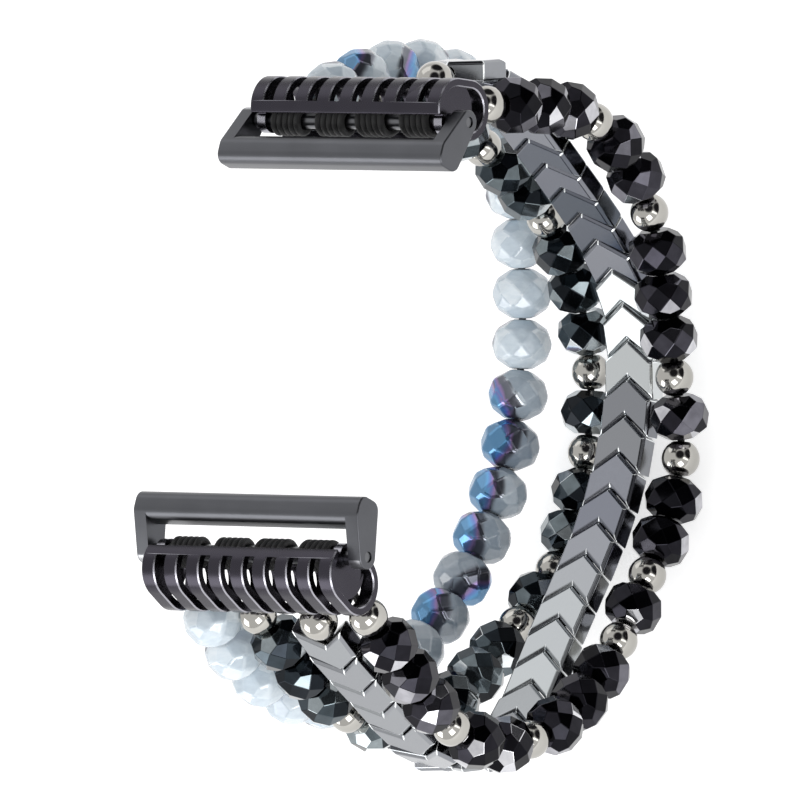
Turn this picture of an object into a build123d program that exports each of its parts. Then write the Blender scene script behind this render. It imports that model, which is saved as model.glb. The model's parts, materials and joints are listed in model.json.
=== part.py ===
# Bead watch band: four elastic strands of beads between two ribbed connector shells. Each shell
# turns on a spring bar, which is held by a lug that slides into a strap slot.
#
# Frame: origin midway between the two lug rails. +X runs across the band, +Y towards the upper
# connector, +Z away from the wrist. The beads hang below, at -Z.
# Millimetres.
from build123d import *
from math import acos, atan2, cos, pi, radians, sin, sqrt, tan
import os

os.makedirs("parts", exist_ok=True)

# Driving dimensions: where the two ends stand
end_span = 49.6  # between the two shells' upper lobe centres
rail_span = 38.2  # between the two lug rails' centre lines
shell_drop = 2.0  # upper lobe centre below the lug rail

# Clearances that the fits share
running_clearance = 0.05
side_clearance = 0.14  # between the spring bar's sleeve and a leg
overrun = 1.0  # how far a cut runs past what it cuts
midway = 0.5  # along an edge, and between across the band and along it

# Ribbed shell: a C section of two lobes, with slots that leave ribs between them
shell_length = 24.2
lobe_radius = 3.1
shell_wall = 0.85
lobe_spacing = 2.13
lobe_tilt = 15.0  # degrees that the lower lobe leans outwards
mouth_front = 33.0  # degrees from +Z towards the lug, on the upper lobe
mouth_back = 110.0  # the same, on the lower lobe
slot_front = 8.5
slot_back = 128.0
slot_count = 8
slot_width = 1.2
slot_pitch = 2.82
slot_bevel = 0.12
lip_round = 0.2
winding_gap = 0.07  # between the cord's windings and the upper lip
web_thickness = 1.0  # end webs that ride on the spring bar
web_recess = 0.3
web_ear = 1.35

# Spring bar: its axis stands off the upper lobe centre, towards the lug's rail and up
bar_reach = 1.6
bar_rise = 0.4
sleeve_radius = 0.85
sleeve_wall = 0.18
sleeve_lip = 0.3
pin_radius = 0.5
pin_recess = 0.15  # pin end below the leg's outer face
piston_length = 1.6
bar_wire = 0.2
bar_coil_turns = 12

# Lug: a rail for the case slot and two legs
leg_gap = 25.48  # between the legs' inner faces
leg_thickness = 1.6
leg_tip_radius = 1.25
leg_edge_round = 0.2
rail_depth = 3.0
rail_height = 3.3
rail_round = 1.1

# Latch: a sprung plunger in the middle of the rail, with its nose on the wrist side
latch_bore_radius = 0.85
latch_floor = 0.6
nose_radius = 0.55
nose_reach = 0.4
nose_round = 0.2
collar_height = 0.5
plug_radius = 1.0
plug_thickness = 0.5
latch_wire = 0.18
latch_coil_turns = 3

# Elastic cord and its windings on the spring bar
cord_diameter = 0.75
cord_clearance = 0.05
winding_pitch = 1.41
winding_quarters = 9

# Beads
glass_diameter = 6.1
glass_length = 4.42
opal_diameter = 6.3
opal_length = 5.05
ball_diameter = 3.95
ball_length = 3.5
bead_hole = 1.25
bead_facets = 8
crown_slope = 20.0  # degrees of the facets that meet at the girdle's points
table_slope = 55.0  # degrees of the facets above them
chevron_width = 6.1
chevron_length = 3.85  # along the cord
chevron_sweep = 2.3  # how far the arms run back
chevron_thickness = 2.3
chevron_bevel = 0.3
bead_clearance = 0.06
shell_clearance = 0.4  # first bead off the shell
bead_spin = 137.5  # degrees from each bead to the next, so that no two look alike
corner_share = 0.45  # of the shorter run beside a corner of the cord, taken up by its arc

# Lanes of the strands across the band
centre_lane_gap = 1.25  # between the navy beads and the chevrons
jet_lane_gap = 0.4
opal_lane_gap = 1.0
lane_shift = 0.275
chevron_lane = lane_shift + (centre_lane_gap + (chevron_width + glass_diameter) / 2) / 2
navy_lane = lane_shift - (centre_lane_gap + (chevron_width + glass_diameter) / 2) / 2
jet_lane = chevron_lane + (chevron_width + glass_diameter) / 2 + jet_lane_gap
opal_lane = navy_lane - (glass_diameter + opal_diameter) / 2 - opal_lane_gap

# Strands: cord slot, lane, degrees outwards from straight down at the two shells, beads from the
# lower end to the upper end (s ball, b glass bead, o opal bead, v chevron), beads below the cut,
# and the route as shares of the shells' half spacing and of the loop's depth
loop_depth = 48.0
glass_pattern = "sbbbsbbsbbbsbsb" + "bsbsbbbsbbsbbbs"
strands = {
    "opal": {
        "slot": 0,
        "lane": opal_lane,
        "leave": (19, 37),
        "pattern": "o" * 25,
        "cut": 12,
        "route_shares": [
            (-1.155, 0.22),
            (-1.2, 0.445),
            (-1.065, 0.65),
            (-0.8, 0.805),
            (-0.44, 0.915),
            (-0.04, 0.975),
            (0.37, 0.975),
            (0.745, 0.92),
            (1.1, 0.83),
            (1.375, 0.71),
            (1.485, 0.54),
            (1.41, 0.34),
        ],
    },
    "navy": {
        "slot": 2,
        "lane": navy_lane,
        "leave": (21, 30),
        "pattern": glass_pattern,
        "cut": 15,
        "route_shares": [
            (-1.14, 0.18),
            (-1.26, 0.46),
            (-1.09, 0.705),
            (-0.67, 0.88),
            (-0.23, 1.005),
            (0.28, 1.01),
            (0.73, 0.915),
            (1.04, 0.7),
            (1.155, 0.47),
            (1.13, 0.18),
        ],
    },
    "chevron": {
        "slot": 5,
        "lane": chevron_lane,
        "leave": (29, 60),
        "pattern": "s" + "v" * 31 + "s",
        "cut": 17,
        "route_shares": [
            (-1.145, 0.16),
            (-1.265, 0.39),
            (-1.325, 0.645),
            (-1.06, 0.83),
            (-0.62, 0.905),
            (-0.15, 0.97),
            (0.35, 0.98),
            (0.79, 0.88),
            (1.035, 0.67),
            (1.19, 0.445),
            (1.295, 0.21),
        ],
    },
    "jet": {
        "slot": 7,
        "lane": jet_lane,
        "leave": (18, 30),
        "pattern": glass_pattern,
        "cut": 15,
        "route_shares": [
            (-1.14, 0.19),
            (-1.31, 0.45),
            (-1.21, 0.69),
            (-0.81, 0.885),
            (-0.31, 0.97),
            (0.2, 0.995),
            (0.62, 0.86),
            (1.06, 0.7),
            (1.27, 0.46),
            (1.15, 0.185),
        ],
    },
}

# Places that the sizes above settle, in the section of one end: towards the lug, then up, from
# the upper lobe's centre
rail_at = ((end_span - rail_span) / 2, shell_drop)
bar_at = (bar_reach, bar_rise)
lower_lobe = (-lobe_spacing * sin(radians(lobe_tilt)), -lobe_spacing * cos(radians(lobe_tilt)))
leg_outer = leg_gap / 2 + leg_thickness
sleeve_half = leg_gap / 2 - side_clearance
winding_radius = sleeve_radius + cord_clearance + cord_diameter / 2
winding_bore = winding_radius + cord_diameter / 2 + winding_gap
end_side = {"lower": -1, "upper": 1}


def place_end(end):
    """Location that puts one end's section frame into the part's frame."""
    side = end_side[end]
    return Location((0, side * end_span / 2, -shell_drop), (0, 0, 90 + side * 90))


def in_part(end, x, reach, rise):
    """A point of one end's section, in the part's frame."""
    side = end_side[end]
    return Vector(x, side * (end_span / 2 - reach), rise - shell_drop)


def bearing(centre, angle, radius):
    """A point of the section at an angle from straight up towards the lug."""
    turn = radians(angle)
    return (centre[0] + radius * sin(turn), centre[1] + radius * cos(turn))


def slot_x(slot):
    return (slot - (slot_count - 1) / 2) * slot_pitch


def finish(part, name):
    """Label a piece and write its file."""
    part.label = name
    export_step(part, "parts/" + name + ".step")


# Ribbed shell
def lobes(radius, mode=Mode.ADD):
    """Outline of the two lobes at one radius."""
    with Locations((lower_lobe[0] / 2, lower_lobe[1] / 2)):
        SlotCenterToCenter(lobe_spacing, 2 * radius, rotation=90 - lobe_tilt, mode=mode)


def watch_side(front, back, mode=Mode.SUBTRACT):
    """Everything on the lug's side, between a bearing on each lobe."""
    reach = 3 * lobe_radius
    Polygon(
        (0, 0),
        bearing((0, 0), front, reach),
        bearing((0, 0), (front + back) / 2, 2 * reach),
        bearing(lower_lobe, back, reach),
        lower_lobe,
        align=None,
        mode=mode,
    )


def off_spine(point):
    """Distance of a point from the line that joins the two lobe centres, in the section."""
    share = (point.Y * lower_lobe[0] + point.Z * lower_lobe[1]) / lobe_spacing**2
    share = min(max(share, 0), 1)
    return sqrt((point.Y - share * lower_lobe[0]) ** 2 + (point.Z - share * lower_lobe[1]) ** 2)


def make_shell():
    inner_radius = lobe_radius - shell_wall
    lips = [bearing((0, 0), mouth_front, radius) for radius in (inner_radius, lobe_radius)]
    lips += [bearing(lower_lobe, mouth_back, radius) for radius in (inner_radius, lobe_radius)]
    lips[0] = bearing(bar_at, mouth_front, winding_bore)
    web_outer = shell_length / 2 - web_recess
    with BuildPart() as shell:
        with BuildSketch(Plane.YZ) as section:
            lobes(lobe_radius)
            lobes(inner_radius, mode=Mode.SUBTRACT)
            watch_side(mouth_front, mouth_back)
            with Locations(bar_at):
                Circle(winding_bore, mode=Mode.SUBTRACT)
            fillet([section.vertices().sort_by_distance(lip)[0] for lip in lips], lip_round)
        extrude(amount=shell_length / 2, both=True)
        with BuildSketch(*[Plane.YZ.offset(slot_x(slot)) for slot in range(slot_count)]):
            lobes(lobe_radius + overrun)
            lobes(inner_radius - shell_wall, mode=Mode.SUBTRACT)
            watch_side(slot_front, slot_back)
        extrude(amount=slot_width / 2, both=True, mode=Mode.SUBTRACT)
        rims = shell.edges().filter_by(
            lambda edge: abs(off_spine(edge @ midway) - lobe_radius) < running_clearance
            and abs((edge % midway).X) < midway
        )
        chamfer(rims, slot_bevel)
        with BuildSketch(Plane.YZ.offset(web_outer - web_thickness), Plane.YZ.offset(-web_outer)):
            Circle(lobe_radius - shell_wall / 2)
            watch_side(mouth_front, mouth_back)
            Circle(inner_radius)
            with Locations(bar_at):
                Circle(web_ear)
        extrude(amount=web_thickness)
        with BuildSketch(Plane.YZ):
            with Locations(bar_at):
                Circle(sleeve_radius + running_clearance)
        extrude(amount=shell_length, both=True, mode=Mode.SUBTRACT)
    return shell.part


# Lug with its sprung latch
def rail_outline():
    with Locations(rail_at):
        RectangleRounded(rail_depth, rail_height, rail_round)


def make_lug():
    bore_top = rail_at[1] + rail_height / 2 - plug_thickness
    bore_foot = rail_at[1] - rail_height / 2 + latch_floor
    with BuildPart() as lug:
        with BuildSketch(Plane.YZ):
            rail_outline()
        extrude(amount=leg_outer, both=True)
        with BuildSketch(Plane.YZ.offset(leg_gap / 2), Plane.YZ.offset(-leg_outer)):
            with Locations(bar_at):
                Circle(leg_tip_radius)
            rail_outline()
            make_hull()
        extrude(amount=leg_thickness)
        flanks = lug.faces().filter_by(Axis.X).sort_by(Axis.X)
        fillet(flanks[0].edges() + flanks[-1].edges(), leg_edge_round)
        with BuildSketch(Plane.YZ):
            with Locations(bar_at):
                Circle(pin_radius + running_clearance)
        extrude(amount=leg_outer + overrun, both=True, mode=Mode.SUBTRACT)
        with BuildSketch(Plane.XY.offset(bore_top)):
            with Locations((0, rail_at[0])):
                Circle(plug_radius)
        extrude(amount=plug_thickness + overrun, mode=Mode.SUBTRACT)
        with BuildSketch(Plane.XY.offset(bore_foot)):
            with Locations((0, rail_at[0])):
                Circle(latch_bore_radius)
        extrude(amount=bore_top - bore_foot, mode=Mode.SUBTRACT)
        with BuildSketch(Plane.XY.offset(bore_foot)):
            with Locations((0, rail_at[0])):
                Circle(nose_radius + running_clearance)
        extrude(amount=-latch_floor - overrun, mode=Mode.SUBTRACT)
    return lug.part


def make_latch_plug():
    """Plug pressed into the top of the latch bore, dressed flush with the rail."""
    with BuildPart() as rail:
        with BuildSketch(Plane.YZ):
            rail_outline()
        extrude(amount=plug_radius, both=True)
    with BuildPart() as plug:
        with BuildSketch(Plane.XY.offset(rail_at[1] + rail_height / 2 - plug_thickness)):
            with Locations((0, rail_at[0])):
                Circle(plug_radius)
        extrude(amount=plug_thickness)
        add(rail.part, mode=Mode.INTERSECT)
    return plug.part


def make_latch_plunger():
    foot = rail_at[1] - rail_height / 2
    with BuildPart() as plunger:
        with BuildSketch(Plane.XY.offset(foot - nose_reach)):
            with Locations((0, rail_at[0])):
                Circle(nose_radius)
        extrude(amount=nose_reach + latch_floor + running_clearance + collar_height)
        fillet(plunger.edges().sort_by(Axis.Z)[0], nose_round)
        with BuildSketch(Plane.XY.offset(foot + latch_floor + running_clearance)):
            with Locations((0, rail_at[0])):
                Circle(latch_bore_radius - running_clearance)
        extrude(amount=collar_height)
    return plunger.part


# Coils and windings: quarter turns, each made of two tangent arcs
def turn_nodes(frame, radius, pitch, quarters):
    """Points and directions at each quarter turn about a plane's normal."""
    nodes = []
    for quarter in range(quarters + 1):
        turn = quarter * pi / 2
        point = Vector(radius * cos(turn), radius * sin(turn), pitch * quarter / 4)
        along = Vector(-radius * sin(turn), radius * cos(turn), pitch / (2 * pi))
        heading = frame.from_local_coords(along) - frame.origin
        nodes.append((frame.from_local_coords(point), heading.normalized()))
    return nodes


def biarc(start, start_along, end, end_along):
    """Two arcs that meet smoothly between two points with given directions."""
    gap = end - start
    both = start_along + end_along
    square = 2 * (1 - start_along.dot(end_along))
    reach = (sqrt(gap.dot(both) ** 2 + square * gap.dot(gap)) - gap.dot(both)) / square
    start_knee = start + start_along * reach
    end_knee = end - end_along * reach
    middle = (start_knee + end_knee) / 2
    TangentArc(start, middle, tangent=start_along)
    TangentArc(middle, end, tangent=end_knee - start_knee)


def wind(nodes, diameter):
    """One unbroken round wire or cord along quarter turns, with a straight end at each side."""
    first, first_along = nodes[0]
    last, last_along = nodes[-1]
    with BuildPart() as wire:
        with BuildLine() as path:
            Line(first - first_along * diameter, first)
            for (point, along), (next_point, next_along) in zip(nodes, nodes[1:]):
                biarc(point, along, next_point, next_along)
            Line(last, last + last_along * diameter)
        with BuildSketch(Plane(origin=path.wire() @ 0, z_dir=path.wire() % 0)):
            Circle(diameter / 2)
        sweep(path=path.wire())
    return wire.part


def own_gap(nodes, diameter):
    """Least gap of a winding to its own next turn, measured on points a full turn apart."""
    points = [point for point, along in nodes]
    return min((later - point).length for point, later in zip(points, points[4:])) - diameter


def make_latch_spring():
    seat = rail_at[1] - rail_height / 2 + latch_floor + running_clearance + collar_height
    top = rail_at[1] + rail_height / 2 - plug_thickness
    pitch = (top - seat - 2 * running_clearance - latch_wire) / latch_coil_turns
    base = (0, rail_at[0], seat + running_clearance + latch_wire / 2)
    radius = latch_bore_radius - running_clearance - latch_wire / 2
    return wind(turn_nodes(Plane(origin=base), radius, pitch, 4 * latch_coil_turns), latch_wire)


# Spring bar
def make_sleeve():
    """Hollow sleeve with a lip rolled in at each end."""
    with BuildPart() as sleeve:
        with BuildSketch(Plane.YZ):
            with Locations(bar_at):
                Circle(sleeve_radius)
                Circle(pin_radius + running_clearance, mode=Mode.SUBTRACT)
        extrude(amount=sleeve_half, both=True)
        with BuildSketch(Plane.YZ):
            with Locations(bar_at):
                Circle(sleeve_radius - sleeve_wall)
        extrude(amount=sleeve_half - sleeve_lip, both=True, mode=Mode.SUBTRACT)
    return sleeve.part


piston_outer = sleeve_half - sleeve_lip - running_clearance


def make_pin(side):
    """Piston inside the sleeve, with a tip that reaches through the leg."""
    with BuildPart() as pin:
        with BuildSketch(Plane.YZ.offset(side * (piston_outer - piston_length))):
            with Locations(bar_at):
                Circle(sleeve_radius - sleeve_wall - running_clearance)
        extrude(amount=side * piston_length)
        with BuildSketch(Plane.YZ.offset(side * piston_outer)):
            with Locations(bar_at):
                Circle(pin_radius)
        extrude(amount=side * (leg_outer - pin_recess - piston_outer))
    return pin.part


def make_bar_spring():
    start = -piston_outer + piston_length + running_clearance + bar_wire / 2
    pitch = -2 * start / bar_coil_turns
    radius = sleeve_radius - sleeve_wall - running_clearance - bar_wire / 2
    frame = Plane(origin=(start, bar_at[0], bar_at[1]), z_dir=(1, 0, 0))
    return wind(turn_nodes(frame, radius, pitch, 4 * bar_coil_turns), bar_wire)


# Bead shapes, each with its hole along Z
def facet_heights(diameter, length):
    """Girdle flat, height of the girdle's points, and the flat of the bead's end face."""
    half_step = pi / bead_facets
    flat = diameter / 2 * cos(half_step)
    point_height = (diameter / 2 - flat * cos(half_step)) / tan(radians(crown_slope))
    end_flat = flat - (length / 2 - point_height) * tan(radians(table_slope))
    return flat, point_height, end_flat


def make_faceted_bead(diameter, length):
    flat, point_height, end_flat = facet_heights(diameter, length)
    table_flat = flat + point_height * tan(radians(table_slope))
    half_turn = 180 / bead_facets
    with BuildPart() as crown:
        with BuildSketch():
            RegularPolygon(diameter / 2, bead_facets, major_radius=False, rotation=half_turn)
        extrude(amount=length / 2, both=True, taper=crown_slope)
    with BuildPart() as table:
        with BuildSketch():
            RegularPolygon(table_flat, bead_facets, major_radius=False)
        extrude(amount=length / 2, both=True, taper=table_slope)
    with BuildPart() as bead:
        with BuildSketch():
            RegularPolygon(diameter / 2, bead_facets)
        extrude(amount=length / 2, both=True)
        add(crown.part, mode=Mode.INTERSECT)
        add(table.part, mode=Mode.INTERSECT)
        Hole(bead_hole / 2)
    return bead.part


def make_ball():
    with BuildPart() as ball:
        Sphere(ball_diameter / 2)
        Box(ball_diameter, ball_diameter, ball_length, mode=Mode.INTERSECT)
        Hole(bead_hole / 2)
    return ball.part


def make_chevron():
    half, body = chevron_width / 2, chevron_length / 2
    arm_front, arm_back = body - chevron_sweep, -body - chevron_sweep
    with BuildPart() as chevron:
        with BuildSketch(Plane.XZ):
            Polygon(
                (0, body),
                (half, arm_front),
                (half, arm_back),
                (0, -body),
                (-half, arm_back),
                (-half, arm_front),
                align=None,
            )
        extrude(amount=chevron_thickness / 2, both=True)
        chamfer(chevron.faces().filter_by(Axis.Y).edges(), chevron_bevel)
        Hole(bead_hole / 2)
    return chevron.part


# Strand layout: the beads are laid end to end on a smooth route, whose depth is set so that they
# fill it
chevron_half_angle = atan2(chevron_width / 2, chevron_sweep)
notch_stand = ball_diameter / 2 / sin(chevron_half_angle) - ball_length / 2
bead_length = {"b": glass_length, "o": opal_length, "s": ball_length, "v": chevron_length}
face_reach = {
    "b": facet_heights(glass_diameter, glass_length)[2] / cos(pi / bead_facets),
    "o": facet_heights(opal_diameter, opal_length)[2] / cos(pi / bead_facets),
    "s": sqrt(ball_diameter**2 - ball_length**2) / 2,
    "v": chevron_thickness / 2 - chevron_bevel,
}
route_samples = 300
first_try_shares = (1.0, 1.02)
first_turn = 0.1  # radians between two beads, before the route is known
spacing_rounds = 3
depth_rounds = 5
depth_slack = bead_clearance / 100


def strand_route(strand, depth_share):
    """Close points along a strand's route, from the lower shell to the upper one."""
    x = slot_x(strand["slot"])
    off_shell = lobe_radius + shell_clearance
    ends = {}
    for end, angle in zip(end_side, strand["leave"]):
        ends[end] = in_part(end, x, *bearing(lower_lobe, 180 + angle, off_shell))
    half_spacing = end_span / 2 - lower_lobe[0]
    top = lower_lobe[1] - shell_drop
    route = [ends["lower"]]
    for across_share, down_share in strand["route_shares"]:
        drop = depth_share * down_share * loop_depth
        route.append(Vector(strand["lane"], across_share * half_spacing, top - drop))
    route.append(ends["upper"])
    line = Edge.make_spline(route)
    return [line @ (sample / route_samples) for sample in range(route_samples + 1)]


def walk(line, steps):
    """Points that stand the given steps apart on a line, and what is left of the line."""
    place = line[0]
    places = [place]
    index = 1
    for number, step in enumerate(steps):
        while index < len(line) and (line[index] - place).length < step:
            index += 1
        if index == len(line):
            missing = sum(steps[number:]) - (line[-1] - place).length
            return places, -missing
        near, far = line[index - 1], line[index]
        run = far - near
        back = near - place
        half = run.dot(back)
        share = (sqrt(half**2 - run.dot(run) * (back.dot(back) - step**2)) - half) / run.dot(run)
        place = near + run * share
        places.append(place)
    left = (line[index] - place).length
    left += sum((after - before).length for before, after in zip(line[index:], line[index + 1 :]))
    return places, left


def bead_gap(before, after, turn):
    """Gap on the cord between two beads whose rims just clear each other on the inside of a bend."""
    gap = bead_clearance + (face_reach[before] + face_reach[after]) * tan(turn / 2)
    if before == "s" and after == "v":
        gap += notch_stand
    return gap


def lay_out(strand):
    """Ends of the beads' chords along the strand, and the gap before and after each bead."""
    kinds = strand["pattern"]
    turns = [first_turn] * (len(kinds) - 1)
    depth_share = first_try_shares[0]
    for _ in range(spacing_rounds):
        gaps = [bead_gap(*pair) for pair in zip(kinds, kinds[1:], turns)]
        before, after = [0] + gaps, gaps + [0]
        steps = [
            bead_length[kind] + (gap_before + gap_after) / 2
            for kind, gap_before, gap_after in zip(kinds, before, after)
        ]
        old_share, old_left = depth_share, walk(strand_route(strand, depth_share), steps)[1]
        depth_share = old_share * first_try_shares[1]
        for _ in range(depth_rounds):
            left = walk(strand_route(strand, depth_share), steps)[1]
            slope = (left - old_left) / (depth_share - old_share)
            old_share, old_left = depth_share, left
            depth_share -= (left - bead_clearance) / slope
            if abs(depth_share - old_share) * loop_depth < depth_slack:
                break
        places = walk(strand_route(strand, depth_share), steps)[0]
        runs = [there - here for here, there in zip(places, places[1:])]
        turns = [radians(run.get_angle(onward)) for run, onward in zip(runs, runs[1:])]
    return places, before, after, depth_share


def bead_locations(kinds, places, before):
    """Where each bead stands: its hole along the cord, its X across the band."""
    stands = []
    for number, kind in enumerate(kinds):
        here, there = places[number], places[number + 1]
        along = (there - here).normalized()
        centre = here + along * (before[number] + bead_length[kind]) / 2
        stand = Plane(origin=centre, x_dir=(1, 0, 0), z_dir=along).location
        if kind in "bo":
            stand = stand * Location((0, 0, 0), (0, 0, number * bead_spin))
        stands.append(stand)
    return stands


def winding_nodes(end, strand, first_place):
    """Quarter turns of a cord's winding on the spring bar, from where the strand leaves it."""
    x = slot_x(strand["slot"])
    bar = in_part(end, x, *bar_at)
    away = first_place - bar
    leave = Plane(origin=bar, x_dir=away, z_dir=(end_side[end], 0, 0))
    turn = -acos(winding_radius / away.length)
    spoke = leave.from_local_coords(Vector(cos(turn), sin(turn), 0)) - bar
    travel = (bar + spoke * winding_radius - first_place).normalized()
    frame = Plane(origin=bar, x_dir=spoke, z_dir=spoke.cross(travel))
    pitch = winding_pitch if frame.z_dir.X * x < 0 else -winding_pitch
    nodes = turn_nodes(frame, winding_radius, pitch, winding_quarters)
    nodes[0] = (nodes[0][0], travel)
    return nodes


def make_cord(points):
    """Round cord along straight runs, with each corner rounded as far as its runs allow."""
    runs = [there - here for here, there in zip(points, points[1:])]
    radii = []
    for run, onward in zip(runs, runs[1:]):
        shorter = min(run.length, onward.length)
        radii.append(corner_share * shorter / tan(radians(run.get_angle(onward)) / 2))
    with BuildPart() as cord:
        with BuildLine() as path:
            FilletPolyline(*points, radius=radii)
        with BuildSketch(Plane(origin=path.wire() @ 0, z_dir=path.wire() % 0)):
            Circle(cord_diameter / 2)
        sweep(path=path.wire())
    return cord.part, radii, path.wire().length


# Ends: shells, lugs, latches and spring bars
end_pieces = {
    "shell": make_shell(),
    "lug": make_lug(),
    "latch_plug": make_latch_plug(),
    "latch_plunger": make_latch_plunger(),
    "latch_spring": make_latch_spring(),
    "bar_sleeve": make_sleeve(),
    "bar_spring": make_bar_spring(),
}
for end, side in end_side.items():
    for piece, form in end_pieces.items():
        finish(form.moved(place_end(end)), end + "_" + piece)
    for hand, hand_side in (("left", -1), ("right", 1)):
        finish(make_pin(-hand_side * side).moved(place_end(end)), end + "_bar_pin_" + hand)

# Strands: cords, windings and beads
shapes = {
    "b": make_faceted_bead(glass_diameter, glass_length),
    "o": make_faceted_bead(opal_diameter, opal_length),
    "s": make_ball(),
    "v": make_chevron(),
}
group_names = {
    ("opal", "o"): "opal_beads_",
    ("navy", "b"): "navy_beads_",
    ("navy", "s"): "navy_balls_",
    ("jet", "s"): "jet_balls_",
    ("chevron", "v"): "chevrons_",
    ("chevron", "s"): "chevron_ball_",
}
groups = {}
windings = {"lower": [], "upper": []}
jet_count = 0
for name, strand in strands.items():
    kinds = strand["pattern"]
    places, before, after, depth_share = lay_out(strand)
    cord_points = list(places)
    for end, first_place in (("lower", places[0]), ("upper", places[-1])):
        nodes = winding_nodes(end, strand, first_place)
        windings[end].append(wind(nodes, cord_diameter))
        cord_end = nodes[0][0] - nodes[0][1] * cord_diameter
        cord_points = [cord_end] + cord_points if end == "lower" else cord_points + [cord_end]
        print(end, name, "winding's least gap to itself", round(own_gap(nodes, cord_diameter), 2))
    cord, radii, cord_length = make_cord(cord_points)
    finish(cord, name + "_cord")
    ideal = pi * cord_diameter**2 / 4 * cord_length
    print(name, "cord radii", [round(radius, 1) for radius in radii])
    print(name, "cord volume", round(cord.volume, 3), "section times length", round(ideal, 3))
    print(name, "depth share", round(depth_share, 4), "least gap on the cord", round(min(before[1:]), 3))
    for number, (kind, stand) in enumerate(zip(kinds, bead_locations(kinds, places, before))):
        bead = shapes[kind].moved(stand)
        if name == "jet" and kind == "b":
            jet_count += 1
            finish(bead, "jet_bead_%02d" % jet_count)
            along = Plane(stand).z_dir
            print("jet_bead_%02d" % jet_count, "centre", *stand.position, "hole along", *along)
        else:
            half_name = "lower" if number < strand["cut"] else "upper"
            groups.setdefault(group_names[name, kind] + half_name, []).append(bead)
        print(name, number, kind, "at", *[round(value, 2) for value in stand.position])

for name, beads in groups.items():
    with BuildPart() as group:
        add(beads)
    finish(group.part, name)
for end, turns in windings.items():
    with BuildPart() as group:
        add(turns)
    finish(group.part, end + "_cord_windings")
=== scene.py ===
# Looks of the bead watch band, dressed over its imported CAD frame. Metres, in the part's frame:
# +X runs across the band, +Y towards the upper connector, +Z away from the wrist.
import json
import math
import random

import bmesh
import bpy
from mathutils import Matrix, Vector

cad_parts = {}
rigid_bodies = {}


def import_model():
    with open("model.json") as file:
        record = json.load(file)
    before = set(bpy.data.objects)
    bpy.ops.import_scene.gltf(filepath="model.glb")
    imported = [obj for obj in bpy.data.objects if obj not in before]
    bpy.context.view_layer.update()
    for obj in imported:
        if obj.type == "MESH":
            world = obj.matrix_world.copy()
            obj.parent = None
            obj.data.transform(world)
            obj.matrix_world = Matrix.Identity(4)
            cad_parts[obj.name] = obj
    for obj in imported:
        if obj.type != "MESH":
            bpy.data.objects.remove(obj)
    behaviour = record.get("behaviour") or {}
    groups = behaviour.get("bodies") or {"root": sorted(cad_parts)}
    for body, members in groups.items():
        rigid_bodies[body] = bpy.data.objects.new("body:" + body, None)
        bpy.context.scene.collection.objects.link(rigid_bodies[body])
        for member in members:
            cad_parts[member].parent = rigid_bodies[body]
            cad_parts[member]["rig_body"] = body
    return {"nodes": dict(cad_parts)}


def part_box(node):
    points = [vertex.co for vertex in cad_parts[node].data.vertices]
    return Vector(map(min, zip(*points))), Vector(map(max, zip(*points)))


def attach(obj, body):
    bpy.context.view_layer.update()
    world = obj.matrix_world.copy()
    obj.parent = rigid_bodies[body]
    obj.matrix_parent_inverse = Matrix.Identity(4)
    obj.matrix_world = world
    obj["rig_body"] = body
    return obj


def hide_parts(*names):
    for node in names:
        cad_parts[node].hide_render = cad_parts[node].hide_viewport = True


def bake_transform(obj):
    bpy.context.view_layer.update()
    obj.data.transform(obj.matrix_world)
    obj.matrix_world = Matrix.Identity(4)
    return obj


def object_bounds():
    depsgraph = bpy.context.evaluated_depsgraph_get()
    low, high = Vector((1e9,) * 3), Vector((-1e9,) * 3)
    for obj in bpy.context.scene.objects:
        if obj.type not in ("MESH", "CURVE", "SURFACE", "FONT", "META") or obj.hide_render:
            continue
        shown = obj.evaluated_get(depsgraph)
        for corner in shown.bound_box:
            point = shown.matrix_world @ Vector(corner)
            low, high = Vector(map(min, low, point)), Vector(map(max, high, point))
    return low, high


MM = 0.001
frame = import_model()
cad_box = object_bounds()
scene = bpy.context.scene
bpy.ops.object.select_all(action="DESELECT")

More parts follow.
